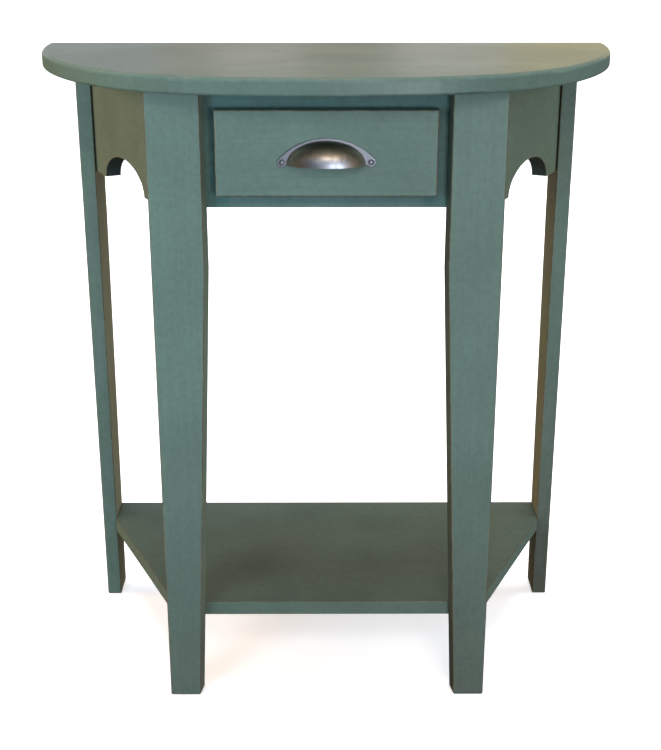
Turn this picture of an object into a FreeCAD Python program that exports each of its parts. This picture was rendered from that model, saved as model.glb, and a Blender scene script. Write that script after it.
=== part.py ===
import FreeCAD
import Part
import math
import os

# Demilune table with one drawer, in millimetres.
# +X is to the right as seen from the front, +Y towards the wall, +Z up.
# The origin is on the floor under the middle of the table's box.

# Table top
TABLE_HEIGHT = 762.0
TOP_WIDTH = 711.0
TOP_DEPTH = 381.0
TOP_THICK = 19.0
TOP_SHOULDER_RADIUS = 243.0   # the tighter curve between the flat front and the ends
TOP_FRONT_SWEEP = 10.5        # degrees turned by half of the flat front curve
TOP_SHOULDER_END = 55.0       # degrees turned where the shoulder curve gives way to the end curve
TOP_BACK_RETURN = 3.0         # widest point of the top, in front of its back edge
TOP_CORNER_ROUND = 8.0        # back corners, in plan
TOP_EDGE_ROUND = 5.0          # upper edge
TOP_UNDER_ROUND = 3.0         # lower edge

# Where the base stands under the top
FRONT_OVERHANG = 57.0         # top's front to the front legs' faces
SIDE_OVERHANG = 42.3          # top's widest point to the back legs' outer faces
BACK_OVERHANG = 1.0           # top's back edge to the back legs and back apron
FRONT_LEG_SPREAD = 388.6      # over the outer edges of the front legs

# Legs: flat boards with one plumb edge and one tapered edge
LEG_WIDTH = 62.5              # wider face
LEG_FOOT_WIDTH = 40.0
BACK_LEG_WIDTH = 67.5
BACK_LEG_FOOT_WIDTH = 44.0
LEG_BEVEL = 3.5               # tapered edge is out of square: the other face is this much narrower
LEG_THICK = 19.0
LEG_TAPER_START = 545.0       # height of the top of the taper
LEG_EASE = 1.8                # rubbed-over edges

# Aprons
SIDE_APRON_HEIGHT = 135.0
SIDE_APRON_THICK = 19.0
SIDE_APRON_SETBACK = 5.0      # behind the back leg's front edge
SIDE_APRON_INSET = 20.6       # inside the front leg's outer edge
ARCH_START = 42.0             # from the back leg, along the apron
ARCH_SPAN = 144.0
ARCH_RISE = 34.0
BACK_APRON_HEIGHT = 126.0
BACK_APRON_THICK = 19.0

# Frame round the drawer opening
FRAME_HEIGHT = 130.0
FRAME_THICK = 19.0
TOP_RAIL_HEIGHT = 31.0
BOTTOM_RAIL_HEIGHT = 27.0
OPENING_WIDTH = 214.0
TENON_LENGTH = 12.0
TENON_THICK = 7.0
TENON_SHOULDER = 5.0
TENON_CLEAR = 0.1             # left free at the end of each mortise

# Shelf
SHELF_TOP_HEIGHT = 121.0
SHELF_THICK = 18.0
SHELF_FRONT_WIDTH = 376.6     # over its front corners
SHELF_NOSE = 7.0              # shelf's widest point, in front of the back leg's front edge
SHELF_BACK_INSET = 20.0       # behind it, short of the top's back edge
SHELF_EASE = 1.0

# Drawer
DRAWER_FRONT_THICK = 19.0
DRAWER_FRONT_EASE = 2.0
DRAWER_LAP_SIDE = 13.0        # front overlaps the frame round the opening
DRAWER_LAP_TOP = 9.8
DRAWER_LAP_BOTTOM = 11.0
DRAWER_CLOSE_GAP = 0.3        # front to frame, closed
DRAWER_SIDE_CLEAR = 1.5
DRAWER_TOP_CLEAR = 3.0
DRAWER_RUN_GAP = 0.3          # drawer's lower edge to its runner
DRAWER_BACK_CLEAR = 40.0      # behind the drawer's back, closed
DRAWER_BOX_THICK = 12.0
DRAWER_BOTTOM_THICK = 5.0
DRAWER_GROOVE_DEPTH = 5.0
DRAWER_GROOVE_RISE = 8.0      # groove above the lower edge of the box
DRAWER_GROOVE_CLEAR = 0.1

# What the drawer runs on
RUNNER_LEDGE = 22.0           # under the drawer's side
RUNNER_HEIGHT = 20.0
GUIDE_THICK = 12.0
GUIDE_HEIGHT = 15.0
KICKER_WIDTH = 40.0
KICKER_GAP = 2.0              # over the drawer's upper edge

# Corner blocks
BLOCK_LEG = 30.0
BLOCK_HEIGHT = 38.0

# Dowels and screws
HOLE_CLEAR = 0.05             # round every dowel and screw
DOWEL_RADIUS = 4.0
DOWEL_LENGTH = 30.0
DOWEL_IN_BOARD = 10.0         # depth across a board's thickness
DOWEL_SPACING = 16.0          # in the ends of the shelf
APRON_DOWEL_SPACING = 70.0
BOX_DOWEL_RADIUS = 3.0
BOX_DOWEL_LENGTH = 30.0
BOX_DOWEL_SPACING = 34.0
SCREW_RADIUS = 2.0
SCREW_HEAD_RADIUS = 4.0
TOP_SCREW_BITE = 12.0         # into the top
LEG_SCREW_BITE = 13.0         # into the front leg
LEG_SCREW_MARGIN = 15.0       # from the corner block and from the foot of the frame
FRONT_SCREW_BITE = 13.0       # into the drawer front
FRONT_SCREW_SPACING_X = 110.0
FRONT_SCREW_SPACING_Z = 30.0

# Cup pull
PULL_WIDTH = 85.6             # over the cup
PULL_HEIGHT = 26.0
PULL_PROJECTION = 25.0
PULL_WALL = 1.6
PULL_FLANGE = 2.6
PULL_FLANGE_THICK = 1.6
PULL_FLANGE_ROUND = 0.9       # front edge of the flange
PULL_DROP = 11.5              # cup's lower edge under the middle of the drawer front
PULL_SCREW_SPACING = 96.0
PULL_EAR_RADIUS = 5.4
PULL_EAR_DROP = 2.7           # ears hang below the cup's lower edge
PULL_SCREW_RADIUS = 1.5
PULL_SCREW_HEAD_RADIUS = 3.2
PULL_SCREW_HEAD_HEIGHT = 2.0
PULL_SCREW_LENGTH = 14.0
PULL_SCREW_SLOT = 0.8

# Heights
leg_height = TABLE_HEIGHT - TOP_THICK
frame_bottom = leg_height - FRAME_HEIGHT
side_apron_bottom = leg_height - SIDE_APRON_HEIGHT
back_apron_bottom = leg_height - BACK_APRON_HEIGHT
block_bottom = leg_height - BLOCK_HEIGHT
opening_bottom = frame_bottom + BOTTOM_RAIL_HEIGHT
opening_top = leg_height - TOP_RAIL_HEIGHT
shelf_bottom = SHELF_TOP_HEIGHT - SHELF_THICK
shelf_middle = SHELF_TOP_HEIGHT - SHELF_THICK / 2

# Lines across the plan, from front to back
top_front = -TOP_DEPTH / 2
top_back = TOP_DEPTH / 2
leg_face = top_front + FRONT_OVERHANG
frame_front = leg_face + LEG_THICK
frame_back = frame_front + FRAME_THICK
base_back = top_back - BACK_OVERHANG
back_apron_front = base_back - BACK_APRON_THICK
back_leg_front = base_back - BACK_LEG_WIDTH
shelf_wide_line = back_leg_front - SHELF_NOSE
shelf_back = top_back - SHELF_BACK_INSET

# Lines along the plan, from the middle to the right
front_leg_outer = FRONT_LEG_SPREAD / 2
front_leg_inner = front_leg_outer - LEG_WIDTH
back_leg_outer = TOP_WIDTH / 2 - SIDE_OVERHANG
back_leg_inner = back_leg_outer - LEG_THICK
opening_edge = OPENING_WIDTH / 2
shelf_front_corner = SHELF_FRONT_WIDTH / 2

# Slant of the right side apron: its outer face runs from the back leg to the front leg
apron_back_end = FreeCAD.Vector(back_leg_inner, back_leg_front + SIDE_APRON_SETBACK, 0)
apron_front_end = FreeCAD.Vector(front_leg_outer - SIDE_APRON_INSET, frame_front, 0)
apron_run = apron_front_end - apron_back_end
apron_slope = apron_run.x / apron_run.y
apron_angle = math.atan(apron_slope)
apron_width_in_x = SIDE_APRON_THICK / math.cos(apron_angle)

# Drawer
drawer_front_back = frame_front - DRAWER_CLOSE_GAP
drawer_face = drawer_front_back - DRAWER_FRONT_THICK
drawer_front_bottom = opening_bottom - DRAWER_LAP_BOTTOM
drawer_front_top = opening_top + DRAWER_LAP_TOP
drawer_front_middle = (drawer_front_bottom + drawer_front_top) / 2
drawer_front_edge = opening_edge + DRAWER_LAP_SIDE
box_edge = opening_edge - DRAWER_SIDE_CLEAR
box_inner = box_edge - DRAWER_BOX_THICK
box_back = back_apron_front - DRAWER_BACK_CLEAR
box_bottom = opening_bottom + DRAWER_RUN_GAP
box_top = opening_top - DRAWER_TOP_CLEAR
box_panel_bottom = box_bottom + DRAWER_GROOVE_RISE
box_panel_top = box_panel_bottom + DRAWER_BOTTOM_THICK
pull_bottom = drawer_front_middle - PULL_DROP

X_AXIS = FreeCAD.Vector(1, 0, 0)
Y_AXIS = FreeCAD.Vector(0, 1, 0)
Z_AXIS = FreeCAD.Vector(0, 0, 1)


def point(x, y, z=0.0):
    return FreeCAD.Vector(x, y, z)


def box(x_low, x_high, y_low, y_high, z_low, z_high):
    return Part.makeBox(x_high - x_low, y_high - y_low, z_high - z_low, point(x_low, y_low, z_low))


def board(corners, along):
    """A board cut to a polygon and as thick as the vector along."""
    wire = Part.makePolygon(corners + corners[:1])
    return Part.Face(wire).extrude(along)


def rod(radius, start, end):
    run = end - start
    return Part.makeCylinder(radius, run.Length, start, run)


def mirrored(shape):
    """The left-hand twin of a right-hand piece."""
    return shape.mirror(point(0, 0), X_AXIS)


def eased(shape, radius, chosen):
    """The shape with the chosen edges rubbed round."""
    edges = [edge for edge in shape.Edges if chosen(edge)]
    return shape.makeFillet(radius, edges)


def upright(edge):
    first, last = edge.Vertexes[0].Point, edge.Vertexes[-1].Point
    return abs(last.z - first.z) > 0.5 * edge.Length


def at_height(edge, height):
    return all(abs(vertex.Z - height) < 1e-6 for vertex in edge.Vertexes)


def screw(head, tip, clear=0.0):
    """A countersunk wood screw, or the hole for it when clear is more than 0."""
    run = tip - head
    end = tip + run * (clear / run.Length)
    sink = SCREW_HEAD_RADIUS - SCREW_RADIUS
    cone = Part.makeCone(SCREW_HEAD_RADIUS + clear, SCREW_RADIUS + clear, sink, head, run)
    return cone.fuse(rod(SCREW_RADIUS + clear, head, end)).removeSplitter()


def dowel(start, end, radius=DOWEL_RADIUS, clear=0.0):
    """A wooden dowel, or the hole for it when clear is more than 0."""
    run = (end - start) * (clear / (end - start).Length)
    return rod(radius + clear, start - run, end + run)


def tabletop():
    """Half-moon board: a flat front curve, two shoulders and two end curves, each tangent to the next."""
    sweep = math.radians(TOP_FRONT_SWEEP)
    turn = math.radians(TOP_SHOULDER_END)
    half_width = TOP_WIDTH / 2
    reach = TOP_DEPTH - TOP_BACK_RETURN
    wide = half_width - TOP_SHOULDER_RADIUS * (math.sin(turn) - math.sin(sweep))
    deep = reach - TOP_SHOULDER_RADIUS * (math.cos(sweep) - math.cos(turn))
    scale = math.sin(sweep) * math.cos(turn) - (1 - math.sin(turn)) * (1 - math.cos(sweep))
    front_radius = (wide * math.cos(turn) - deep * (1 - math.sin(turn))) / scale
    end_radius = (deep * math.sin(sweep) - wide * (1 - math.cos(sweep))) / scale
    finish = math.pi / 2 + math.asin(TOP_BACK_RETURN / end_radius)

    def heading(angle):
        return point(math.sin(angle), -math.cos(angle))

    front_centre = point(0, top_front + front_radius, leg_height)
    shoulder_centre = front_centre + heading(sweep) * (front_radius - TOP_SHOULDER_RADIUS)
    end_centre = shoulder_centre + heading(turn) * (TOP_SHOULDER_RADIUS - end_radius)

    def arc(centre, radius, start, stop):
        places = [centre + heading(angle) * radius for angle in (start, (start + stop) / 2, stop)]
        return Part.Arc(*places).toShape()

    front = arc(front_centre, front_radius, -sweep, sweep)
    right = [
        arc(shoulder_centre, TOP_SHOULDER_RADIUS, sweep, turn),
        arc(end_centre, end_radius, turn, finish),
    ]
    left = [mirrored(edge) for edge in right]
    corner = end_centre + heading(finish) * end_radius
    back = Part.makeLine(corner, point(-corner.x, corner.y, corner.z))
    outline = Part.Wire(Part.__sortEdges__([front, back] + right + left))
    slab = Part.Face(outline).extrude(Z_AXIS * TOP_THICK)

    corner_round = TOP_CORNER_ROUND
    slab = eased(slab, corner_round, lambda e: upright(e) and abs(e.Vertexes[0].Y - top_back) < 1e-6)
    over = min(TOP_EDGE_ROUND, 0.9 * corner_round)
    under = min(TOP_UNDER_ROUND, 0.9 * corner_round, TOP_THICK - over)
    slab = eased(slab, over, lambda e: at_height(e, TABLE_HEIGHT))
    return eased(slab, under, lambda e: at_height(e, leg_height))


def leg_board(width, foot_width):
    """One leg lying across X: plumb edge at X = 0, the other edge tapered, narrower face at Y = 0."""
    outline = [
        point(0, 0, 0),
        point(0, 0, leg_height),
        point(-width, 0, leg_height),
        point(-width, 0, LEG_TAPER_START),
        point(-foot_width, 0, 0),
    ]
    blank = board(outline, Y_AXIS * LEG_THICK)
    shaving = [
        point(-width, 0, LEG_TAPER_START),
        point(LEG_BEVEL - width, 0, LEG_TAPER_START),
        point(-width, LEG_THICK, LEG_TAPER_START),
    ]
    for stroke in (Z_AXIS * leg_height, point(width - foot_width, 0, -LEG_TAPER_START)):
        blank = blank.cut(board(shaving, stroke))

    def rubbed(edge):
        middle = edge.CenterOfMass
        keen = middle.y > LEG_THICK / 2 and middle.x < -foot_width / 2
        return at_height(edge, 0.0) or (upright(edge) and not keen)

    return eased(blank, LEG_EASE, rubbed)


def taper(height, width, foot_width):
    """Width of a leg's wider face at a height."""
    share = min(height / LEG_TAPER_START, 1.0)
    return foot_width + (width - foot_width) * share


def front_leg():
    """Wider face towards the back, taper towards the middle of the table."""
    leg = leg_board(LEG_WIDTH, LEG_FOOT_WIDTH)
    leg.translate(point(front_leg_outer, leg_face))
    return leg


def back_leg():
    """A deeper board turned a quarter: its thin edge faces forwards and its taper is at the back."""
    leg = mirrored(leg_board(BACK_LEG_WIDTH, BACK_LEG_FOOT_WIDTH))
    leg.rotate(point(0, 0), Z_AXIS, 90)
    leg.translate(point(back_leg_outer, back_leg_front))
    return leg


def apron_outer_x(y):
    """Where the right side apron's outer face is at a line y of the plan."""
    return apron_front_end.x + (y - frame_front) * apron_slope


def apron_inner_x(y):
    return apron_outer_x(y) - apron_width_in_x


def between_legs(shape):
    """The shape trimmed to the room inside the back legs, the frame and the back apron."""
    room = box(-back_leg_inner, back_leg_inner, frame_front, back_apron_front, 0.0, leg_height)
    return shape.common(room)


def side_apron():
    """Slanted board from the back leg to the front leg, with its lower edge cut to a half-oval arch."""
    foot = [
        point(apron_outer_x(frame_front), frame_front, side_apron_bottom),
        point(apron_inner_x(frame_front), frame_front, side_apron_bottom),
        point(apron_inner_x(back_apron_front), back_apron_front, side_apron_bottom),
        point(apron_outer_x(back_apron_front), back_apron_front, side_apron_bottom),
    ]
    blank = between_legs(board(foot, Z_AXIS * SIDE_APRON_HEIGHT))

    along = apron_run * (1 / apron_run.Length)
    outward = Z_AXIS.cross(along)
    middle = apron_back_end + along * (ARCH_START + ARCH_SPAN / 2) + Z_AXIS * side_apron_bottom
    oval = Part.Ellipse(middle + along * (ARCH_SPAN / 2), middle + Z_AXIS * ARCH_RISE, middle)
    hole = Part.Face(Part.Wire(oval.toShape()))
    hole.translate(outward * SIDE_APRON_THICK)
    return blank.cut(hole.extrude(outward * (-3 * SIDE_APRON_THICK)))


def back_apron():
    return box(-back_leg_inner, back_leg_inner, back_apron_front, base_back, back_apron_bottom, leg_height)


def frame_rail(bottom, height):
    """A rail of the drawer frame with a stub tenon on each end."""
    rail = box(-opening_edge, opening_edge, frame_front, frame_back, bottom, bottom + height)
    tenon = tenon_block(bottom, height, TENON_LENGTH)
    return rail.fuse([tenon, mirrored(tenon)]).removeSplitter()


def tenon_block(bottom, height, length):
    cheek = (FRAME_THICK - TENON_THICK) / 2
    return box(
        opening_edge, opening_edge + length,
        frame_front + cheek, frame_back - cheek,
        bottom + TENON_SHOULDER, bottom + height - TENON_SHOULDER,
    )


def frame_stile():
    """The upright beside the opening, bevelled to lie against the side apron."""
    plan = [
        point(opening_edge, frame_front, frame_bottom),
        point(apron_inner_x(frame_front), frame_front, frame_bottom),
        point(apron_inner_x(frame_back), frame_back, frame_bottom),
        point(opening_edge, frame_back, frame_bottom),
    ]
    mortise_depth = TENON_LENGTH + TENON_CLEAR
    mortises = [
        tenon_block(frame_bottom, BOTTOM_RAIL_HEIGHT, mortise_depth),
        tenon_block(opening_top, TOP_RAIL_HEIGHT, mortise_depth),
    ]
    return board(plan, Z_AXIS * FRAME_HEIGHT).cut(mortises)


def shelf():
    """Low board with slanted sides under the side aprons."""
    half = [
        point(shelf_front_corner, frame_front, shelf_bottom),
        point(back_leg_inner, shelf_wide_line, shelf_bottom),
        point(back_leg_inner, shelf_back, shelf_bottom),
    ]
    other = [point(-corner.x, corner.y, corner.z) for corner in reversed(half)]
    blank = board(half + other, Z_AXIS * SHELF_THICK)
    return eased(blank, SHELF_EASE, lambda e: at_height(e, SHELF_TOP_HEIGHT) or at_height(e, shelf_bottom))


def drawer_front():
    blank = box(
        -drawer_front_edge, drawer_front_edge,
        drawer_face, drawer_front_back,
        drawer_front_bottom, drawer_front_top,
    )
    return eased(blank, DRAWER_FRONT_EASE, lambda e: all(abs(v.Y - drawer_face) < 1e-6 for v in e.Vertexes))


def bottom_panel(clear=0.0):
    """The drawer's bottom, or the grooves that take it when clear is more than 0."""
    reach = box_inner + DRAWER_GROOVE_DEPTH
    front = drawer_front_back + DRAWER_BOX_THICK - DRAWER_GROOVE_DEPTH
    return box(
        -reach - clear, reach + clear,
        front - clear, box_back + clear,
        box_panel_bottom - clear, box_panel_top + clear,
    )


def drawer_box():
    """Right side, box front, back and bottom of the drawer."""
    groove = bottom_panel(DRAWER_GROOVE_CLEAR)
    inner_front = drawer_front_back + DRAWER_BOX_THICK
    side = box(box_inner, box_edge, drawer_front_back, box_back, box_bottom, box_top).cut(groove)
    front = box(-box_inner, box_inner, drawer_front_back, inner_front, box_bottom, box_top).cut(groove)
    back = box(
        -box_inner, box_inner,
        box_back - DRAWER_BOX_THICK, box_back,
        box_panel_top + DRAWER_GROOVE_CLEAR, box_top,
    )
    return side, front, back, bottom_panel()


def runner():
    return box(
        opening_edge - RUNNER_LEDGE, opening_edge + GUIDE_THICK,
        frame_back, back_apron_front,
        opening_bottom - RUNNER_HEIGHT, opening_bottom,
    )


def guide():
    return box(
        opening_edge, opening_edge + GUIDE_THICK,
        frame_back, back_apron_front,
        opening_bottom, opening_bottom + GUIDE_HEIGHT,
    )


def kicker():
    return box(
        -KICKER_WIDTH / 2, KICKER_WIDTH / 2,
        frame_back, back_apron_front,
        box_top + KICKER_GAP, leg_height,
    )


def block_plan(corner, sense):
    """Plan of a block between a side apron and the frame (sense 1) or the back apron (sense -1)."""
    along_apron = point(math.sin(apron_angle), math.cos(apron_angle)) * sense
    return [corner, corner - X_AXIS * BLOCK_LEG, corner + along_apron * BLOCK_LEG]


def corner_block(plan):
    return between_legs(board([corner + Z_AXIS * block_bottom for corner in plan], Z_AXIS * BLOCK_HEIGHT))


def top_screw_path(plan):
    centre = (plan[0] + plan[1] + plan[2]) * (1 / 3)
    return centre + Z_AXIS * block_bottom, centre + Z_AXIS * (leg_height + TOP_SCREW_BITE)


def flange_outline():
    """Bow-shaped face on the drawer front: thin over the cup, and running smoothly into two screw ears."""
    ear = ear_middle()
    crown = point(0, drawer_face, pull_bottom + PULL_HEIGHT + PULL_FLANGE)
    rise = crown.z - ear.z
    bow_radius = (ear.x ** 2 + rise ** 2 - PULL_EAR_RADIUS ** 2) / (2 * (rise - PULL_EAR_RADIUS))
    bow_middle = crown - Z_AXIS * bow_radius
    touch = bow_middle + (ear - bow_middle).normalize() * bow_radius

    cup_corner = point(PULL_WIDTH / 2, drawer_face, pull_bottom)
    inward = math.atan2(cup_corner.z - ear.z, cup_corner.x - ear.x)
    lean = inward + math.acos(PULL_EAR_RADIUS / (cup_corner - ear).Length)
    foot = ear + point(math.cos(lean), 0, math.sin(lean)) * PULL_EAR_RADIUS

    right = [
        Part.Arc(touch, ear + X_AXIS * PULL_EAR_RADIUS, foot).toShape(),
        Part.makeLine(foot, cup_corner),
    ]
    left = [mirrored(edge) for edge in right]
    bow = Part.Arc(point(-touch.x, touch.y, touch.z), crown, touch).toShape()
    lip = Part.makeLine(cup_corner, point(-cup_corner.x, cup_corner.y, cup_corner.z))
    return Part.Face(Part.Wire(Part.__sortEdges__([bow, lip] + right + left)))


def dome(half_width, height, projection):
    """Quarter of an ellipsoid on the drawer's face, open downwards."""
    ball = Part.makeSphere(1.0)
    stretch = FreeCAD.Matrix()
    stretch.scale(half_width, projection, height)
    stretch.move(point(0, drawer_face, pull_bottom))
    return ball.transformGeometry(stretch)


def cup_pull():
    """Half-shell finger pull with a flat flange and a screw ear at each end."""
    half_width = PULL_WIDTH / 2
    front_half = box(
        -2 * half_width, 2 * half_width,
        drawer_face - 2 * PULL_PROJECTION, drawer_face,
        pull_bottom, pull_bottom + 2 * PULL_HEIGHT,
    )
    outside = dome(half_width, PULL_HEIGHT, PULL_PROJECTION)
    inside = dome(half_width - PULL_WALL, PULL_HEIGHT - PULL_WALL, PULL_PROJECTION - PULL_WALL)
    shell = outside.cut(inside).common(front_half)

    flange_front = drawer_face - PULL_FLANGE_THICK

    def rounded(edge):
        at_front = all(abs(vertex.Y - flange_front) < 1e-6 for vertex in edge.Vertexes)
        return at_front and not at_height(edge, pull_bottom)

    plate = flange_outline().extrude(Y_AXIS * -PULL_FLANGE_THICK)
    plate = eased(plate, PULL_FLANGE_ROUND, rounded).cut(inside)
    holes = [pull_screw_hole(), mirrored(pull_screw_hole())]
    return plate.fuse(shell).removeSplitter().cut(holes)


def ear_middle():
    return point(PULL_SCREW_SPACING / 2, drawer_face, pull_bottom + PULL_EAR_RADIUS - PULL_EAR_DROP)


def pull_screw_hole():
    start = ear_middle() - Y_AXIS * (2 * PULL_FLANGE_THICK)
    end = ear_middle() + Y_AXIS * (PULL_SCREW_LENGTH + HOLE_CLEAR)
    return rod(PULL_SCREW_RADIUS + HOLE_CLEAR, start, end)


def pull_screw():
    """Round-head screw with a slot, seated on the pull's ear."""
    seat = ear_middle() - Y_AXIS * PULL_FLANGE_THICK
    crown = PULL_SCREW_HEAD_RADIUS ** 2 / (2 * PULL_SCREW_HEAD_HEIGHT) + PULL_SCREW_HEAD_HEIGHT / 2
    ball = Part.makeSphere(crown, seat + Y_AXIS * (crown - PULL_SCREW_HEAD_HEIGHT))
    reach = 2 * PULL_SCREW_HEAD_RADIUS
    head = ball.common(box(
        seat.x - reach, seat.x + reach,
        seat.y - PULL_SCREW_HEAD_HEIGHT, seat.y,
        seat.z - reach, seat.z + reach,
    ))
    slot = box(
        seat.x - PULL_SCREW_SLOT / 2, seat.x + PULL_SCREW_SLOT / 2,
        seat.y - PULL_SCREW_HEAD_HEIGHT, seat.y - PULL_SCREW_HEAD_HEIGHT + PULL_SCREW_SLOT,
        seat.z - reach, seat.z + reach,
    )
    shank = rod(PULL_SCREW_RADIUS, seat, ear_middle() + Y_AXIS * PULL_SCREW_LENGTH)
    return head.cut(slot).fuse(shank).removeSplitter()


def across(start, depth_in_first, along, length):
    """The two ends of a dowel that crosses the joint at start and runs in the direction along."""
    return start - along * depth_in_first, start + along * (length - depth_in_first)


# Where the right-hand dowels and screws run
leg_inner_at_shelf = front_leg_outer - taper(shelf_middle, LEG_WIDTH, LEG_FOOT_WIDTH)
shelf_front_middle = (leg_inner_at_shelf + min(shelf_front_corner, front_leg_outer)) / 2
shelf_back_middle = back_leg_front + taper(shelf_middle, BACK_LEG_WIDTH, BACK_LEG_FOOT_WIDTH) / 2
shelf_dowel_ends = []
for side in (-0.5, 0.5):
    step = side * DOWEL_SPACING
    front_place = point(shelf_front_middle + step, frame_front, shelf_middle)
    back_place = point(back_leg_inner, shelf_back_middle + step, shelf_middle)
    shelf_dowel_ends.append(across(front_place, DOWEL_IN_BOARD, Y_AXIS, DOWEL_LENGTH))
    shelf_dowel_ends.append(across(back_place, DOWEL_IN_BOARD, -X_AXIS, DOWEL_LENGTH))

apron_dowel_ends = []
for side in (-0.5, 0.5):
    height = (back_apron_bottom + leg_height) / 2 + side * APRON_DOWEL_SPACING
    place = point(back_leg_inner, (back_apron_front + base_back) / 2, height)
    apron_dowel_ends.append(across(place, DOWEL_IN_BOARD, -X_AXIS, DOWEL_LENGTH))

runner_dowel_x = opening_edge - RUNNER_LEDGE / 2
runner_middle = opening_bottom - RUNNER_HEIGHT / 2
runner_front_place = point(runner_dowel_x, frame_back, runner_middle)
runner_back_place = point(runner_dowel_x, back_apron_front, runner_middle)
runner_dowel_ends = [
    across(runner_front_place, DOWEL_IN_BOARD, Y_AXIS, DOWEL_LENGTH),
    across(runner_back_place, DOWEL_IN_BOARD, -Y_AXIS, DOWEL_LENGTH),
]

box_dowel_ends = []
for side in (-0.5, 0.5):
    height = box_panel_top + (box_top - box_panel_top) / 2 + side * BOX_DOWEL_SPACING
    for line in (drawer_front_back + DRAWER_BOX_THICK / 2, box_back - DRAWER_BOX_THICK / 2):
        start = point(box_edge, line, height)
        box_dowel_ends.append((start, start - X_AXIS * BOX_DOWEL_LENGTH))

leg_screw_ends = []
leg_screw_x = (front_leg_inner + apron_inner_x(frame_front)) / 2
for height in (frame_bottom + LEG_SCREW_MARGIN, block_bottom - LEG_SCREW_MARGIN):
    head = point(leg_screw_x, frame_back, height)
    leg_screw_ends.append((head, head - Y_AXIS * (FRAME_THICK + LEG_SCREW_BITE)))

front_screw_ends = []
for side in (-0.5, 0.5):
    height = box_panel_top + (box_top - box_panel_top) / 2 + side * FRONT_SCREW_SPACING_Z
    head = point(FRONT_SCREW_SPACING_X / 2, drawer_front_back + DRAWER_BOX_THICK, height)
    front_screw_ends.append((head, head - Y_AXIS * (DRAWER_BOX_THICK + FRONT_SCREW_BITE)))

front_block_plan = block_plan(point(apron_inner_x(frame_back), frame_back), 1)
back_block_plan = block_plan(point(apron_inner_x(back_apron_front), back_apron_front), -1)
top_screw_ends = [top_screw_path(front_block_plan), top_screw_path(back_block_plan)]


def dowels(ends, radius=DOWEL_RADIUS, clear=0.0):
    """Dowels of one joint, right and left, or the holes for them."""
    right = [dowel(start, end, radius, clear) for start, end in ends]
    return right + [mirrored(piece) for piece in right]


def screws(ends, clear=0.0):
    """Screws of one joint, right and left, or the holes for them."""
    right = [screw(head, tip, clear) for head, tip in ends]
    return right + [mirrored(piece) for piece in right]


shelf_holes = dowels(shelf_dowel_ends, clear=HOLE_CLEAR)
apron_holes = dowels(apron_dowel_ends, clear=HOLE_CLEAR)
runner_holes = dowels(runner_dowel_ends, clear=HOLE_CLEAR)
box_holes = dowels(box_dowel_ends, BOX_DOWEL_RADIUS, HOLE_CLEAR)
leg_screw_holes = screws(leg_screw_ends, HOLE_CLEAR)
front_screw_holes = screws(front_screw_ends, HOLE_CLEAR)
top_screw_holes = screws(top_screw_ends, HOLE_CLEAR)
pull_screw_holes = [pull_screw_hole(), mirrored(pull_screw_hole())]

pieces = {}


def add(name, *solids):
    pieces[name] = solids[0] if len(solids) == 1 else Part.makeCompound(list(solids))


def add_pair(name, right):
    """A right-hand piece and its left-hand twin."""
    add(name + "_right", right)
    add(name + "_left", mirrored(right))


side_piece, box_front_piece, back_piece, bottom_piece = drawer_box()

# Fixed pieces
add("tabletop", tabletop().cut(top_screw_holes))
add_pair("leg_front", front_leg().cut(shelf_holes + leg_screw_holes))
add_pair("leg_back", back_leg().cut(shelf_holes + apron_holes))
add_pair("side_apron", side_apron())
add("back_apron", back_apron().cut(apron_holes + runner_holes))
add("front_rail_top", frame_rail(opening_top, TOP_RAIL_HEIGHT))
add("front_rail_bottom", frame_rail(frame_bottom, BOTTOM_RAIL_HEIGHT).cut(runner_holes))
add_pair("front_stile", frame_stile().cut(leg_screw_holes))
add("shelf", shelf().cut(shelf_holes))
add_pair("drawer_runner", runner().cut(runner_holes))
add_pair("drawer_guide", guide())
add("drawer_kicker", kicker())
add_pair("corner_block_front", corner_block(front_block_plan).cut(top_screw_holes))
add_pair("corner_block_back", corner_block(back_block_plan).cut(top_screw_holes))
add("shelf_dowels", *dowels(shelf_dowel_ends))
add("back_apron_dowels", *dowels(apron_dowel_ends))
add("runner_dowels", *dowels(runner_dowel_ends))
add("front_leg_screws", *screws(leg_screw_ends))
add("tabletop_screws", *screws(top_screw_ends))

# Pieces that slide with the drawer
add("drawer_front", drawer_front().cut(front_screw_holes + pull_screw_holes))
add("drawer_box_front", box_front_piece.cut(front_screw_holes + box_holes))
add_pair("drawer_side", side_piece.cut(box_holes))
add("drawer_back", back_piece.cut(box_holes))
add("drawer_bottom", bottom_piece)
add("drawer_box_dowels", *dowels(box_dowel_ends, BOX_DOWEL_RADIUS))
add("drawer_front_screws", *screws(front_screw_ends))
add("cup_pull", cup_pull())
add("cup_pull_screws", pull_screw(), mirrored(pull_screw()))

os.makedirs("parts", exist_ok=True)
for name, piece in pieces.items():
    piece.exportStep("parts/" + name + ".step")
    count = len(piece.Solids)
    print(name, count, "solid" if count == 1 else "solids", "valid" if piece.isValid() else "NOT VALID")
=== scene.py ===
import math

import bpy
from mathutils import Euler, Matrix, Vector


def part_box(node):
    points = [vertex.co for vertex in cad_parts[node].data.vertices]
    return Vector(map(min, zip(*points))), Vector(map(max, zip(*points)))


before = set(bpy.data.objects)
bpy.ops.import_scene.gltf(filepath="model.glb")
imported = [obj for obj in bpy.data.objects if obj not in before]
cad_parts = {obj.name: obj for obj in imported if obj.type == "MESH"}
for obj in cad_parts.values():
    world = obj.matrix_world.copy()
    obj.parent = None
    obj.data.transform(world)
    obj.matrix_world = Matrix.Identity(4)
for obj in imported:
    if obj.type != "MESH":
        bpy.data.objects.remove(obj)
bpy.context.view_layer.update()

bl_info = {
    "name": "Demilune Table",
    "version": (1, 0, 0),
    "blender": (4, 5, 0),
    "location": "3D View > Sidebar > Table",
    "description": "Finishes a painted half-moon table with one drawer and sets it on a plain stage",
    "category": "Object",
}

MM = 0.001


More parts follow.
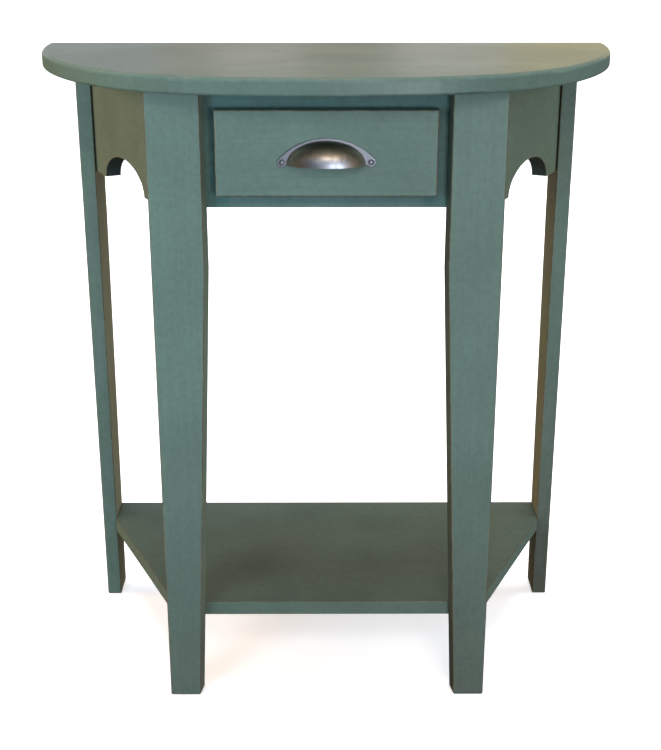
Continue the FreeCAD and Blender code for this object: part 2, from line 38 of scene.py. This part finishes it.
def linear(code):
    """Linear red, green and blue of an sRGB hex colour such as #647e78."""
    channels = [int(code[i:i + 2], 16) / 255 for i in (1, 3, 5)]
    return [c / 12.92 if c <= 0.04045 else ((c + 0.055) / 1.055) ** 2.4 for c in channels]


def colour(name, description, code):
    return bpy.props.FloatVectorProperty(
        name=name, description=description, subtype="COLOR", size=3, min=0.0, max=1.0, default=linear(code))


def length(name, description, millimetres):
    return bpy.props.FloatProperty(
        name=name, description=description, unit="LENGTH", default=millimetres * MM)


def share(name, description, value):
    return bpy.props.FloatProperty(
        name=name, description=description, subtype="FACTOR", min=0.0, max=1.0, default=value)


def angle(name, description, degrees):
    return bpy.props.FloatProperty(
        name=name, description=description, subtype="ANGLE", default=math.radians(degrees))


class PaintSettings(bpy.types.PropertyGroup):
    """Satin paint brushed on pine and rubbed through along the edges"""
    paint: colour("Paint", "Sage green as brushed on", "#657e76")
    primer: colour("Primer", "Tan undercoat that shows first", "#947f5e")
    wood: colour("Rubbed wood", "Brown wood where the edge is rubbed through", "#4c362a")
    # Partly painted sheen: the top's upper face is greyer than its rim, standing in part for the light it catches
    # from above
    sheened_top_paint: colour("Top paint", "Greyer under its varnish", "#68776d")
    paint_rim: colour("Rim paint", "Deeper green on the edge of the top", "#5c756d")
    # Painted shade: the shelf's upper face, under the top, gets a darker, more olive coat than its edge
    shaded_shelf_paint: colour("Shelf paint", "Dustier, more olive coat on the shelf", "#4e5e54")
    shelf_rim: colour("Shelf edge", "Cleaner green on the edge of the shelf", "#60746a")
    # Painted shade: the frame and back apron, and still more the rail under the top and the stiles beside the drawer,
    # get darker coats in place of the shade they lie in
    shaded_frame_paint: colour("Frame paint", "Deeper, bluer coat round the drawer", "#577472")
    shaded_rail_paint: colour("Rail paint", "Darkest coat, on the stiles and the rail under the top", "#496b69")
    # Partly painted shade: the side aprons, facing sideways, get a darker, more olive copy of the paint
    shaded_apron_paint: colour("Apron paint", "Thinner, more olive coat on the side aprons", "#637466")
    # Painted shade: a dark coat on the sawn edges and the arch of the side aprons
    cut: colour("Cut faces", "Dark, thin coat on the sawn edges of the side aprons", "#374340")
    # Painted shade: the legs grow darker and browner towards the floor
    low_shade: colour("Scuffs", "Dust and shoe marks low on the legs", "#56554b")
    # Brown wood under thin paint on the legs' inner sides, with painted light and shade in it: pale on the left legs,
    # which face the light, darker on the back right leg and near black on the front right leg, whose inner side lies
    # in shade
    stain_and_shading: colour("Wiped wood", "Brown wood under thin paint, on the left legs", "#9a9577")
    shaded_warm_stain: colour("Warm wood", "Brown wood under thin paint, on the back right leg", "#746e4c")
    shaded_deep_stain: colour("Deep wood", "Dark wood under thin paint, on the front right leg", "#2c2a20")
    thin: share("Thin paint", "Brightness left where the brush left less paint", 0.91)
    roughness: share("Roughness", "Dull sheen of the paint itself", 0.58)
    rubbed_roughness: share("Rubbed roughness", "Dry surface where the paint is rubbed off", 0.7)
    gloss: share("Gloss", "Strength of the paint's reflections", 0.3)
    varnish: share("Varnish", "How much clear satin varnish lies over the paint of the top", 0.32)
    varnish_roughness: share("Varnish roughness", "Satin sheen of the varnish", 0.34)
    patch: length("Patch", "Size of the cloudy changes of tone", 90)
    # Painted shade: how dark, and how wide, the shade painted into corners is
    painted_shade: share("Corner grime", "How much of its brightness the paint keeps deep in a corner", 0.4)
    painted_shade_reach: length("Grime reach", "Width of the dark band in a corner", 10)
    stipple: length("Stipple", "Size of the marks that the brush left", 7)
    dab: share("Dabs", "How much lighter or darker the brush marks are", 0.07)
    streak: share("Streaks", "How much lighter or darker the ridges of the grain are", 0.05)
    grain_width: length("Grain width", "Pine grain that shows through as fine ridges", 2.2)
    grain_length: length("Grain length", "Length of one ridge along the board", 140)
    grain_depth: length("Grain depth", "Height of the ridges", 0.05)
    low_shade_height: length("Scuff height", "How far the scuffs reach up from the floor", 400)
    wear_patch: length("Wear patch", "Length of one rubbed stretch of an edge", 22)
    wear_reach: length("Wear reach", "Width of the rubbed band beside a sharp edge", 2.5)
    slant: angle("Apron slant", "How far the side aprons turn away from straight back", 26.5)


class PineSettings(bpy.types.PropertyGroup):
    """Planed pine with no finish"""
    early: colour("Early wood", "Pale wood between the grain lines", "#d8b483")
    late: colour("Late wood", "Darker grain lines", "#b58350")
    ring: length("Ring spacing", "Distance between grain lines", 7)
    stretch: share("Stretch", "Wavering along the board, as a share of that across it", 0.06)
    ridge: length("Ridge", "Height of the grain lines", 0.1)
    roughness: share("Roughness", "Dull planed surface", 0.62)


class NickelSettings(bpy.types.PropertyGroup):
    """Cast pull, nickel plated and antiqued"""
    # Partly painted reflections: the bright, toned and dark colours are laid on the cup by the way it faces, and the
    # flange is tinted blue, in place of part of what the metal mirrors
    bright: colour("Nickel", "Bare metal where hands rub the cup", "#aab4c4")
    brown: colour("Toned nickel", "Brown toning higher on the cup", "#c8bcab")
    flange: colour("Flange", "Bluish nickel of the flange", "#8f98a6")
    dark: colour("Patina", "Brown-black patina on the upper side of the cup", "#34322f")
    roughness: share("Roughness", "Satin of the rubbed metal", 0.36)
    mottle: length("Mottle", "Size of the patina's blotches", 6)
    flange_thick: length("Flange thickness", "How far the flange stands off the drawer front", 1.6)


class ZincSettings(bpy.types.PropertyGroup):
    """Zinc-plated steel of the wood screws"""
    pale: colour("Pale zinc", "Bright grey of the plating", "#b9bbbd")
    dull: colour("Dull zinc", "Darker blotches in the plating", "#8f9296")
    blotch: length("Blotch", "Size of the blotches", 2)
    roughness: share("Roughness", "Half-dull sheen of the plating", 0.38)


class StageSettings(bpy.types.PropertyGroup):
    """Camera, lights and floor"""
    eye: bpy.props.FloatVectorProperty(
        name="Eye", description="Where the camera stands", subtype="TRANSLATION", unit="LENGTH",
        default=(-0.0004, -1.5222, 0.9203))
    tilt: angle("Tilt", "How far the camera looks down", 19.6811)
    turn: angle("Turn", "How far the camera looks to the right", 0.1948)
    lens: bpy.props.FloatProperty(
        name="Lens", description="Focal length on a 36 mm sensor", subtype="DISTANCE_CAMERA", default=62.208)
    floor: colour("Floor", "Pale studio floor", "#fcfdff")
    floor_glow: share("Floor glow", "Light from the floor itself, which keeps the shadow on it pale", 0.5)
    room: colour("Room", "Faint warm light from all round", "#fffaf0")
    room_strength: share("Room strength", "Strength of the light from all round", 0.12)
    key: colour("Key light", "Even light from the front right", "#fffcff")
    daylight: colour("Daylight", "Cool light from a window on the left", "#d4ecff")
    lamplight: colour("Lamplight", "Warm light from above the eye", "#ffe9d4")
    glow: colour("Glow", "Light thrown back by a warm wall on the left", "#ffc88f")
    ceiling: colour("Ceiling", "Even light from above", "#fbfbff")
    ceiling_strength: bpy.props.FloatProperty(
        name="Ceiling strength", description="Watts on a square metre of the top", default=3.2)
    ceiling_spread: angle("Ceiling spread", "How wide the ceiling looks from the table", 40)
    ceiling_lean: angle("Ceiling lean", "How far behind straight above the light comes from", 6)


def add(tree, kind, inputs=None, **settings):
    """One shader node with its settings, its values and its links."""
    node = tree.nodes.new("ShaderNode" + kind)
    for key, value in settings.items():
        setattr(node, key, value)
    for key, value in (inputs or {}).items():
        if isinstance(value, bpy.types.NodeSocket):
            tree.links.new(value, node.inputs[key])
        else:
            node.inputs[key].default_value = value
    return node


def rgba(values):
    return (*values, 1.0)


def calc(tree, operation, *values):
    """Result of a sum on numbers."""
    return add(tree, "Math", dict(enumerate(values)), operation=operation).outputs[0]


def calc_vector(tree, operation, *values):
    """Result of a sum on vectors, which is a number for a length or a dot product."""
    node = add(tree, "VectorMath", dict(enumerate(values)), operation=operation)
    return node.outputs["Value" if operation in ("LENGTH", "DOT_PRODUCT") else "Vector"]


def axes(tree, vector):
    """The x, y and z of a vector."""
    return add(tree, "SeparateXYZ", {0: vector}).outputs


def spin(tree, vector, turn):
    """Vector turned about the upright axis."""
    return add(tree, "VectorRotate", {"Vector": vector, "Angle": turn}, rotation_type="Z_AXIS").outputs[0]


def remap(tree, value, source, target=(0.0, 1.0), ramp="LINEAR"):
    """Number moved from one range to another and held between its ends."""
    return add(tree, "MapRange", {0: value, 1: source[0], 2: source[1], 3: target[0], 4: target[1]},
               interpolation_type=ramp).outputs[0]


def noise(tree, place, size, detail, **inputs):
    """Cloudy noise with features of one size."""
    return add(tree, "TexNoise", {"Vector": place, "Scale": 1 / size, "Detail": detail, **inputs}).outputs[0]


def blend(tree, amount, first, second):
    """Colour between two others: the first at amount 0, the second at amount 1."""
    ends = [end if isinstance(end, bpy.types.NodeSocket) else rgba(end) for end in (first, second)]
    return add(tree, "Mix", {0: amount, 6: ends[0], 7: ends[1]}, data_type="RGBA").outputs[2]


def new_material(name):
    material = bpy.data.materials.new(name)
    material.use_nodes = True
    tree = material.node_tree
    shader = next(n for n in tree.nodes if n.type == "BSDF_PRINCIPLED")
    return material, tree, shader


# Range that nearly all values of a noise lie in
NOISE_SPAN = (0.3, 0.7)
# How squarely a surface faces where each finish starts and where it is complete
EDGE_FACING = (0.97, 0.78)
INNER_FACING = (-0.8, -0.97)
UPWARD_FACING = (0.5, 0.95)
SAWN_FACING = (0.7, 0.3)
# How rubbed an edge is where the primer or the wood starts to show and where it is bare
PRIMER_SHOWS = (0.26, 0.42)
WOOD_SHOWS = (0.40, 0.56)
# How open a corner is where the painted shade is deepest and where it ends
PAINTED_SHADE_OPEN = (0.15, 0.62)


def edge_share(tree, settings, facing, edges):
    """How far a point lies on an edge of its board: 0 on a flat side, 1 on the edge itself."""
    if edges == "sharp":
        softened = add(tree, "Bevel", {"Radius": settings.wear_reach}, samples=6).outputs[0]
        flat = calc_vector(tree, "DOT_PRODUCT", softened, facing)
    else:
        # A rounded edge faces between the flat sides of its board.
        x, y, z = axes(tree, calc_vector(tree, "ABSOLUTE", facing))
        if edges == "curved":
            upright = calc_vector(tree, "LENGTH", calc_vector(tree, "MULTIPLY", facing, (1, 1, 0)))
        else:
            upright = calc(tree, "MAXIMUM", x, y)
        flat = calc(tree, "MAXIMUM", upright, z)
    return remap(tree, flat, EDGE_FACING)


def inner_share(tree, place, facing):
    """1 on the sides that face the middle of the table, 0 on the others."""
    side = calc(tree, "SIGN", axes(tree, place)[0])
    return remap(tree, calc(tree, "MULTIPLY", axes(tree, facing)[0], side), INNER_FACING)


def sage_paint(name, settings, grain, wear, edges="eased", turn=0.0, tone=None, rim=None, varnish=0.0,
               stain_and_shading=None, wiped=0.0, low_shaded=0.0):
    """Brushed satin paint on pine: even green, faint ridges along the grain, tan and brown on rubbed edges.

    grain is the axis that the wood runs along, after a turn about the upright axis. wear says how rubbed the edges
    are, and edges how they are found: eased on straight boards, curved on round ones, sharp where nothing is rounded.
    tone and rim are the paint above and on the rim: the tone of the top carries painted sheen, and those of the
    shelf, frame, rails and aprons painted shade. stain_and_shading and wiped are the wood under thin paint on inner
    sides, made paler or darker per leg as painted light and shade, and low_shaded is how far painted shade darkens a
    leg towards the floor.
    """
    material, tree, shader = new_material(name)
    place = add(tree, "TexCoord").outputs["Object"]
    facing = add(tree, "NewGeometry").outputs["Normal"]
    clouds = noise(tree, place, settings.patch, 4.0)
    spread = [1 / settings.grain_width] * 3
    spread["XYZ".index(grain)] = 1 / settings.grain_length
    stretched = calc_vector(tree, "MULTIPLY", spin(tree, place, turn), spread)
    ridges = noise(tree, stretched, 1.0, 3.0, Roughness=0.6)

    painted = tone or settings.paint
    # The upward face takes the tone and the rim its own green: painted sheen on the top, painted shade on the shelf
    if rim:
        upward = remap(tree, axes(tree, facing)[2], UPWARD_FACING)
        painted = blend(tree, upward, rim, painted)
    if turn:
        # The sawn ends and the arch face along the board, its painted sides face across it. The sawn faces get a dark
        # coat as painted shade.
        across = calc(tree, "ABSOLUTE", axes(tree, spin(tree, facing, turn))[0])
        painted = blend(tree, remap(tree, across, SAWN_FACING), painted, settings.cut)
    # Painted shade: darker towards the floor.
    if low_shaded:
        low_shade_share = remap(tree, axes(tree, place)[2], (settings.low_shade_height, 0.0), (0.0, low_shaded))
        painted = blend(tree, low_shade_share, painted, settings.low_shade)
    if stain_and_shading:
        # Thin paint on the sides that face the middle of the table lets brown wood through along the grain; how pale
        # or dark that wood is on each leg is painted light and shade.
        streaky = remap(tree, ridges, NOISE_SPAN, (wiped / 2, wiped))
        bared = calc(tree, "MULTIPLY", inner_share(tree, place, facing), streaky)
        painted = blend(tree, bared, painted, stain_and_shading)

    blotches = noise(tree, place, settings.wear_patch, 5.0, Roughness=0.65)
    handled = calc(tree, "MULTIPLY", blotches, wear)
    rubbed = calc(tree, "MULTIPLY", edge_share(tree, settings, facing, edges), handled)
    to_primer = remap(tree, rubbed, PRIMER_SHOWS, ramp="SMOOTHSTEP")
    to_wood = remap(tree, rubbed, WOOD_SHOWS, ramp="SMOOTHSTEP")
    primed = blend(tree, to_primer, painted, settings.primer)
    worn = blend(tree, to_wood, primed, settings.wood)

    streak = remap(tree, ridges, NOISE_SPAN, (1 - settings.streak, 1 + settings.streak))
    dabs = noise(tree, place, settings.stipple, 2.0)
    dabbed = remap(tree, dabs, NOISE_SPAN, (1 - settings.dab, 1 + settings.dab))
    thinned = remap(tree, clouds, (0.35, 0.7), (1.0, settings.thin), "SMOOTHSTEP")
    # Painted shade: ambient occlusion darkens the paint in the corners where boards meet.
    open_share = add(tree, "AmbientOcclusion", {"Distance": settings.painted_shade_reach}, samples=8).outputs["AO"]
    painted_shade_factor = remap(tree, open_share, PAINTED_SHADE_OPEN, (settings.painted_shade, 1.0))
    shade = streak
    for factor in (dabbed, thinned, painted_shade_factor):
        shade = calc(tree, "MULTIPLY", shade, factor)
    finished = add(tree, "VectorMath", {0: worn, "Scale": shade}, operation="SCALE").outputs[0]

    dullness = remap(tree, clouds, NOISE_SPAN, (settings.roughness - 0.04, settings.roughness + 0.06))
    rough = add(tree, "Mix", {0: to_primer, 2: dullness, 3: settings.rubbed_roughness}).outputs[0]
    bump = add(tree, "Bump", {"Height": ridges, "Strength": 0.35, "Distance": settings.grain_depth}).outputs[0]
    tree.links.new(finished, shader.inputs["Base Color"])
    tree.links.new(rough, shader.inputs["Roughness"])
    tree.links.new(bump, shader.inputs["Normal"])
    shader.inputs["Specular IOR Level"].default_value = settings.gloss
    shader.inputs["Coat Weight"].default_value = varnish
    shader.inputs["Coat Roughness"].default_value = settings.varnish_roughness
    return material


def planed_pine(name, settings, grain):
    """Planed, unfinished pine: pale wood with darker, wavering grain lines and no gloss."""
    material, tree, shader = new_material(name)
    place = add(tree, "TexCoord").outputs["Object"]
    spread = [1.0] * 3
    spread["XYZ".index(grain)] = settings.stretch
    stretched = calc_vector(tree, "MULTIPLY", place, spread)
    rings = noise(tree, stretched, settings.ring, 3.0, Distortion=0.6)
    lines = remap(tree, rings, (0.4, 0.68), ramp="SMOOTHSTEP")
    wood = blend(tree, lines, settings.early, settings.late)
    bump = add(tree, "Bump", {"Height": lines, "Strength": 0.2, "Distance": settings.ridge}).outputs[0]
    tree.links.new(wood, shader.inputs["Base Color"])
    tree.links.new(bump, shader.inputs["Normal"])
    shader.inputs["Roughness"].default_value = settings.roughness
    return material


# How far the cup faces up or sideways where each toning and painted reflection starts and where it is complete
BROWN_TONING_AND_REFLECTION_FACING = (0.2, 0.5)
PATINA_AND_REFLECTION_FACING = (0.66, 0.92)


def antiqued_nickel(name, settings, flange_front=None):
    """Cast, nickel-plated and antiqued metal: satin reflections, brown-black patina where no hand rubs it off. On a
    cup the colour also carries painted reflections: near black above, brown at the sides, bright and bluish low on
    its bulge.

    flange_front is how far back the flange's face lies. Pieces with no cup leave it out.
    """
    material, tree, shader = new_material(name)
    place = add(tree, "TexCoord").outputs["Object"]
    mottle = noise(tree, place, settings.mottle, 6.0, Roughness=0.6)
    blotched = remap(tree, mottle, (0.45, 0.8), (0.0, 0.45))
    if flange_front is None:
        metal = blend(tree, blotched, settings.bright, settings.flange)
    else:
        # The cup is patina-black above and rubbed bright on its bulge, with painted reflections in both: near black
        # where it faces up, brown where it turns up or sideways, bright bluish where it faces forward; the flange
        # lies flat against the drawer.
        facing = axes(tree, add(tree, "NewGeometry").outputs["Normal"])
        sideways, upward = calc(tree, "ABSOLUTE", facing[0]), facing[2]
        turned = calc(tree, "MAXIMUM", upward, sideways)
        brown_toning_and_reflection = remap(tree, turned, BROWN_TONING_AND_REFLECTION_FACING, ramp="SMOOTHSTEP")
        toned_and_reflected = blend(tree, brown_toning_and_reflection, settings.bright, settings.brown)
        patina_and_dark_reflection = remap(tree, upward, PATINA_AND_REFLECTION_FACING, (0.0, 0.9), "SMOOTHSTEP")
        cup = blend(tree, calc(tree, "MAXIMUM", blotched, patina_and_dark_reflection), toned_and_reflected, settings.dark)
        on_flange = remap(tree, axes(tree, place)[1], (flange_front - 0.3 * MM, flange_front))
        metal = blend(tree, on_flange, cup, settings.flange)
    rough = remap(tree, mottle, (0.3, 0.8), (settings.roughness, settings.roughness + 0.15))
    tree.links.new(metal, shader.inputs["Base Color"])
    tree.links.new(rough, shader.inputs["Roughness"])
    shader.inputs["Metallic"].default_value = 1.0
    return material


def zinc_plate(name, settings):
    """Zinc-plated steel of a wood screw: pale grey, slightly blotched and half dull."""
    material, tree, shader = new_material(name)
    blotches = noise(tree, add(tree, "TexCoord").outputs["Object"], settings.blotch, 3.0)
    tree.links.new(blend(tree, blotches, settings.pale, settings.dull), shader.inputs["Base Color"])
    shader.inputs["Metallic"].default_value = 1.0
    shader.inputs["Roughness"].default_value = settings.roughness
    return material


def finish(material, *names):
    """Gives CAD pieces their finish."""
    for name in names:
        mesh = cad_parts[name].data
        mesh.materials.clear()
        mesh.materials.append(material)


def pair(name):
    return name + "_left", name + "_right"


class DEMILUNE_OT_tabletop(bpy.types.Operator):
    """Paint and varnish the half-moon top"""
    bl_idname = "demilune.tabletop"
    bl_label = "Top"

    def execute(self, context):
        settings = context.scene.demilune_paint
        finish(sage_paint("sage_paint_varnished", settings, "X", wear=0.5, edges="curved", tone=settings.sheened_top_paint,
                          rim=settings.paint_rim, varnish=settings.varnish), "tabletop")
        return {"FINISHED"}


# Leg, the wood on its inner side with the painted light and shade in it, how far the paint there is wiped off,
# and how far painted shade darkens it towards the floor
LEGS = (
    ("front_left", "stain_and_shading", 0.25, 0.4),
    ("front_right", "shaded_deep_stain", 0.9, 0.55),
    ("back_left", "stain_and_shading", 0.95, 0.0),
    ("back_right", "shaded_warm_stain", 0.95, 0.7),
)


class DEMILUNE_OT_legs(bpy.types.Operator):
    """Paint the four legs, each with its own wiped inner side and painted shade"""
    bl_idname = "demilune.legs"
    bl_label = "Legs"

    def execute(self, context):
        settings = context.scene.demilune_paint
        for leg, wood, wiped, low_shaded in LEGS:
            finish(sage_paint("sage_paint_leg_" + leg, settings, "Z", wear=1.25, stain_and_shading=getattr(settings, wood),
                              wiped=wiped, low_shaded=low_shaded), "leg_" + leg)
        return {"FINISHED"}


class DEMILUNE_OT_side_aprons(bpy.types.Operator):
    """Paint the slanted side aprons, with painted shade on the sawn edges and the arch"""
    bl_idname = "demilune.side_aprons"
    bl_label = "Side aprons"

    def execute(self, context):
        settings = context.scene.demilune_paint
        for side, sense in (("left", -1), ("right", 1)):
            finish(sage_paint("sage_paint_apron_" + side, settings, "Y", wear=0.9, edges="sharp",
                              turn=sense * settings.slant, tone=settings.shaded_apron_paint), "side_apron_" + side)
        return {"FINISHED"}


class DEMILUNE_OT_drawer_frame(bpy.types.Operator):
    """Paint the frame round the drawer, and the back apron"""
    bl_idname = "demilune.drawer_frame"
    bl_label = "Drawer frame and back apron"

    def execute(self, context):
        settings = context.scene.demilune_paint
        # Painted shade: darker coats stand in for the shade on the recessed frame, the rail under the top and the
        # stiles
        finish(sage_paint("sage_paint_rails", settings, "X", wear=0.4, edges="sharp", tone=settings.shaded_frame_paint),
               "back_apron", "front_rail_bottom")
        finish(sage_paint("sage_paint_top_rail", settings, "X", wear=0.4, edges="sharp", tone=settings.shaded_rail_paint),
               "front_rail_top")
        finish(sage_paint("sage_paint_stiles", settings, "Z", wear=0.4, edges="sharp", tone=settings.shaded_rail_paint),
               *pair("front_stile"))
        return {"FINISHED"}


class DEMILUNE_OT_shelf(bpy.types.Operator):
    """Paint the shelf, darker on its face as painted shade and brighter green on its edge"""
    bl_idname = "demilune.shelf"
    bl_label = "Shelf"

    def execute(self, context):
        settings = context.scene.demilune_paint
        finish(sage_paint("sage_paint_shelf", settings, "X", wear=1.6, edges="curved", tone=settings.shaded_shelf_paint,
                          rim=settings.shelf_rim), "shelf")
        return {"FINISHED"}


class DEMILUNE_OT_drawer_front(bpy.types.Operator):
    """Paint the drawer front"""
    bl_idname = "demilune.drawer_front"
    bl_label = "Drawer front"

    def execute(self, context):
        finish(sage_paint("sage_paint_drawer", context.scene.demilune_paint, "X", wear=1.0), "drawer_front")
        return {"FINISHED"}


class DEMILUNE_OT_bare_pine(bpy.types.Operator):
    """Leave the drawer's box and the hidden strips, blocks and dowels in bare pine"""
    bl_idname = "demilune.bare_pine"
    bl_label = "Drawer box and hidden strips"

    def execute(self, context):
        settings = context.scene.demilune_pine
        finish(planed_pine("planed_pine_lengthwise", settings, "Y"),
               *pair("drawer_side"), *pair("drawer_runner"), *pair("drawer_guide"), "drawer_kicker")
        finish(planed_pine("planed_pine_across", settings, "X"),
               "drawer_box_front", "drawer_back", "drawer_bottom", "drawer_box_dowels", "back_apron_dowels",
               "shelf_dowels", "runner_dowels")
        finish(planed_pine("planed_pine_upright", settings, "Z"),
               *pair("corner_block_front"), *pair("corner_block_back"))
        return {"FINISHED"}


class DEMILUNE_OT_cup_pull(bpy.types.Operator):
    """Finish the cup pull and its screws in antiqued nickel"""
    bl_idname = "demilune.cup_pull"
    bl_label = "Cup pull"

    def execute(self, context):
        settings = context.scene.demilune_nickel
        flange_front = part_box("cup_pull")[1][1] - settings.flange_thick
        finish(antiqued_nickel("antiqued_nickel_cup", settings, flange_front), "cup_pull")
        finish(antiqued_nickel("antiqued_nickel_screws", settings), "cup_pull_screws")
        return {"FINISHED"}


class DEMILUNE_OT_fasteners(bpy.types.Operator):
    """Finish the hidden screws in zinc"""
    bl_idname = "demilune.fasteners"
    bl_label = "Screws"

    def execute(self, context):
        finish(zinc_plate("zinc_plated_steel", context.scene.demilune_zinc),
               "front_leg_screws", "tabletop_screws", "drawer_front_screws")
        return {"FINISHED"}


# Name, place, target, width and height in metres, watts, which of the stage's tints,
# and whether varnish and metal mirror it
LIGHTS = (
    ("key_light", (1.5, -4.0, 0.25), (0, 0, 0.6), (0.6, 0.6), 39, "key", True),
    ("window_light", (-0.95, -1.35, 0.85), (0, 0, 0.6), (0.6, 0.6), 13, "daylight", False),
    ("front_light", (0.6, -2.4, 0.75), (0, 0, 0.6), (0.45, 0.45), 7, "key", True),
    ("lamp_light", (0.35, -2.2, 1.95), (0, 0, 0.6), (0.5, 0.5), 11, "lamplight", True),
    ("high_windows", (0.15, -2.4, 2.05), (0, 0, 0.75), (2.2, 0.2), 6, "daylight", True),
    ("wall_left", (-2.2, 0.0, 0.9), (0, 0, 0.5), (1.2, 1.2), 38, "glow", False),
    ("wall_right", (2.2, 0.0, 0.9), (0, 0, 0.5), (1.2, 1.2), 20, "key", False),
    ("back_light", (0.0, 3.2, 0.45), (0, 0, 0.45), (2.0, 0.6), 24, "key", False),
)

# Strips of the wall behind, from left to right, that the varnished top mirrors:
# left and right end in metres, watts on a square metre, and tint
WALL = (
    (-1.80, -0.52, 5.5, "#f5e7ff"),
    (-0.52, -0.34, 4.5, "#ffd6cd"),
    (-0.34, -0.08, 8.5, "#ffe4db"),
    (-0.08, 0.21, 4.0, "#ffd0b4"),
    (0.21, 0.56, 9.9, "#ffece3"),
    (0.56, 1.80, 10.5, "#ffdb91"),
)

# How far behind the table the strips stand, the level of their middle, their height, and the level they face
WALL_BEHIND, WALL_LEVEL, WALL_HEIGHT, WALL_AIM = 2.6, 1.05, 0.4, 0.76

# The floor is flat under the table and sweeps up far away, so that the background is pale from all sides:
# distance from the middle and height of each ring of corners, in metres
FLOOR_RINGS = ((14.0, 0.0), (20.0, 1.5), (30.0, 8.0))
FLOOR_SIDES = 48


def area_light(name, place, target, size, power, tint, mirrored):
    data = bpy.data.lights.new(name, "AREA")
    data.shape = "RECTANGLE"
    data.size, data.size_y = size
    data.energy = power
    data.color = tint
    lamp = bpy.data.objects.new(name, data)
    lamp.location = place
    lamp.visible_glossy = mirrored
    lamp.rotation_euler = (Vector(target) - Vector(place)).to_track_quat("-Z", "Y").to_euler()
    bpy.context.scene.collection.objects.link(lamp)


def studio_floor(settings):
    """Pale, dull floor that takes shadows but throws no light back, so undersides stay dark."""
    corners = [(reach * math.cos(math.tau * i / FLOOR_SIDES), reach * math.sin(math.tau * i / FLOOR_SIDES), height)
               for reach, height in FLOOR_RINGS for i in range(FLOOR_SIDES)]
    faces = [tuple(range(FLOOR_SIDES))]
    for ring in range(len(FLOOR_RINGS) - 1):
        for i in range(FLOOR_SIDES):
            first, second = ring * FLOOR_SIDES + i, ring * FLOOR_SIDES + (i + 1) % FLOOR_SIDES
            faces.append((first, first + FLOOR_SIDES, second + FLOOR_SIDES, second))
    mesh = bpy.data.meshes.new("floor")
    mesh.from_pydata(corners, [], faces)
    material, tree, shader = new_material("studio_floor")
    shader.inputs["Base Color"].default_value = rgba(settings.floor)
    shader.inputs["Roughness"].default_value = 0.9
    shader.inputs["Emission Color"].default_value = rgba(settings.floor)
    shader.inputs["Emission Strength"].default_value = settings.floor_glow
    mesh.materials.append(material)
    floor = bpy.data.objects.new("floor", mesh)
    floor.visible_diffuse = False
    floor.visible_glossy = False
    return floor


class DEMILUNE_OT_stage(bpy.types.Operator):
    """Set up the floor, the soft light and the camera"""
    bl_idname = "demilune.stage"
    bl_label = "Stage"

    def execute(self, context):
        scene = context.scene
        settings = scene.demilune_stage
        floor = studio_floor(settings)
        scene.collection.objects.link(floor)

        world = bpy.data.worlds.new("studio")
        scene.world = world
        world.use_nodes = True
        sky = next(n for n in world.node_tree.nodes if n.type == "BACKGROUND")
        sky.inputs["Color"].default_value = rgba(settings.room)
        sky.inputs["Strength"].default_value = settings.room_strength

        for name, place, target, size, power, tint, mirrored in LIGHTS:
            area_light(name, place, target, size, power, getattr(settings, tint), mirrored)
        for number, (left, right, strength, tint) in enumerate(WALL):
            middle, width = (left + right) / 2, right - left
            area_light("wall_back_%d" % number, (middle, WALL_BEHIND, WALL_LEVEL), (middle, 0, WALL_AIM),
                       (width, WALL_HEIGHT), strength * width * WALL_HEIGHT, linear(tint), True)
        sun = bpy.data.lights.new("ceiling_light", "SUN")
        sun.energy = settings.ceiling_strength
        sun.angle = settings.ceiling_spread
        sun.color = settings.ceiling
        ceiling = bpy.data.objects.new("ceiling_light", sun)
        ceiling.visible_glossy = False
        ceiling.rotation_euler.x = -settings.ceiling_lean
        scene.collection.objects.link(ceiling)

        camera_data = bpy.data.cameras.new("camera")
        camera_data.lens = settings.lens
        camera = bpy.data.objects.new("camera", camera_data)
        camera.location = settings.eye
        camera.rotation_euler = Euler((math.pi / 2 - settings.tilt, 0, -settings.turn))
        scene.collection.objects.link(camera)
        scene.camera = camera
        scene.view_settings.view_transform = "Standard"
        return {"FINISHED"}


class DEMILUNE_PT_steps(bpy.types.Panel):
    """Steps that finish the table"""
    bl_idname = "DEMILUNE_PT_steps"
    bl_label = "Demilune Table"
    bl_space_type = "VIEW_3D"
    bl_region_type = "UI"
    bl_category = "Table"

    def draw(self, context):
        for step in STEPS:
            self.layout.operator(step.bl_idname)


SETTINGS = {
    "demilune_paint": PaintSettings,
    "demilune_pine": PineSettings,
    "demilune_nickel": NickelSettings,
    "demilune_zinc": ZincSettings,
    "demilune_stage": StageSettings,
}
STEPS = (
    DEMILUNE_OT_tabletop,
    DEMILUNE_OT_legs,
    DEMILUNE_OT_side_aprons,
    DEMILUNE_OT_drawer_frame,
    DEMILUNE_OT_shelf,
    DEMILUNE_OT_drawer_front,
    DEMILUNE_OT_bare_pine,
    DEMILUNE_OT_cup_pull,
    DEMILUNE_OT_fasteners,
    DEMILUNE_OT_stage,
)


def register():
    for name, group in SETTINGS.items():
        bpy.utils.register_class(group)
        setattr(bpy.types.Scene, name, bpy.props.PointerProperty(type=group))
    for step in STEPS:
        bpy.utils.register_class(step)
    bpy.utils.register_class(DEMILUNE_PT_steps)


def unregister():
    bpy.utils.unregister_class(DEMILUNE_PT_steps)
    for step in reversed(STEPS):
        bpy.utils.unregister_class(step)
    for name, group in SETTINGS.items():
        delattr(bpy.types.Scene, name)
        bpy.utils.unregister_class(group)


def main():
    register()
    bpy.ops.demilune.tabletop()
    bpy.ops.demilune.legs()
    bpy.ops.demilune.side_aprons()
    bpy.ops.demilune.drawer_frame()
    bpy.ops.demilune.shelf()
    bpy.ops.demilune.drawer_front()
    bpy.ops.demilune.bare_pine()
    bpy.ops.demilune.cup_pull()
    bpy.ops.demilune.fasteners()
    bpy.ops.demilune.stage()


if __name__ == "__main__":
    main()
